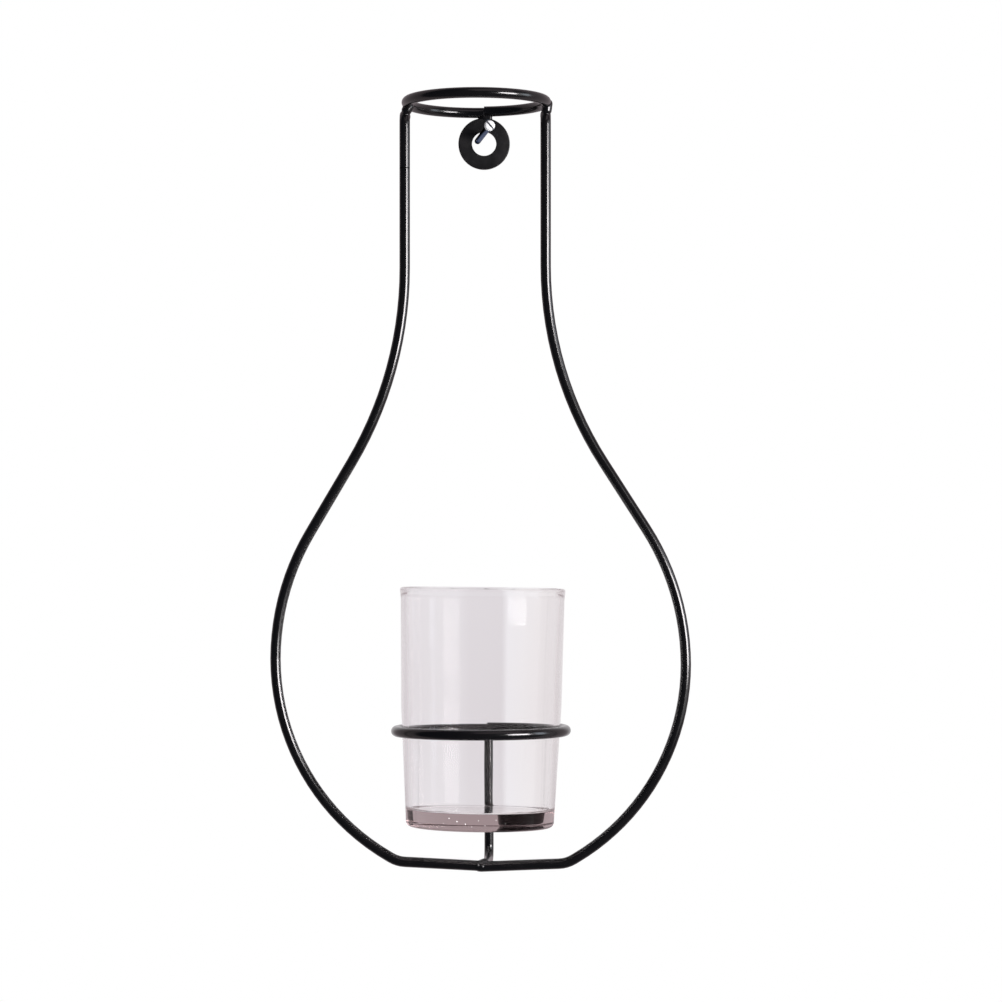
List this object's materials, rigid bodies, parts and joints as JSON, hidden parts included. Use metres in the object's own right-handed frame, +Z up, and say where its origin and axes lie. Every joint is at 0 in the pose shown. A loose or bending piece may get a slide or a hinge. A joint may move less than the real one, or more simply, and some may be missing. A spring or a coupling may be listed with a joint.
{
  "type": "hanging wall vase",
  "caption": "Flask outline of bent black wire that hangs on a wall screw by a washer and carries a heavy-based glass in a ring.",
  "frame": {"origin": "where the wall screw's axis enters the wall", "axes": "+X to the right of someone who faces the vase, +Y into the wall, +Z up"},
  "size_m": [0.1305, 0.0746, 0.2403],
  "materials": {
    "black_wire": "gloss black paint on steel wire",
    "black_washer": "satin black paint on steel",
    "black_weld": "gloss black paint over a weld bead",
    "clear_glass": "clear pressed glass",
    "screw_steel": "bright zinc-plated steel"
  },
  "bodies": {
    "wall_screw": {"wall_screw": "screw_steel"},
    "vase_frame": {"neck_ring": "black_wire", "left_side_wire": "black_wire", "right_side_wire": "black_wire", "hanging_washer": "black_washer", "cup_ring": "black_wire", "cup_stem": "black_wire", "left_neck_weld": "black_weld", "right_neck_weld": "black_weld", "washer_weld": "black_weld", "cup_ring_weld": "black_weld", "bottom_weld": "black_weld"},
    "glass": {"glass_cup": "clear_glass"}
  },
  "joints": [
    {"name": "vase_swing", "type": "hinge", "parent": "wall_screw", "child": "vase_frame", "pos_m": [0.00121, -0.0066, 0.00064], "axis": [0, 1, 0], "range_deg": [-30, 30]},
    {"name": "glass_lift", "type": "slide", "parent": "vase_frame", "child": "glass", "axis": [0.0122, 0, 0.9999], "range_m": [0, 0.056]}
  ]
}
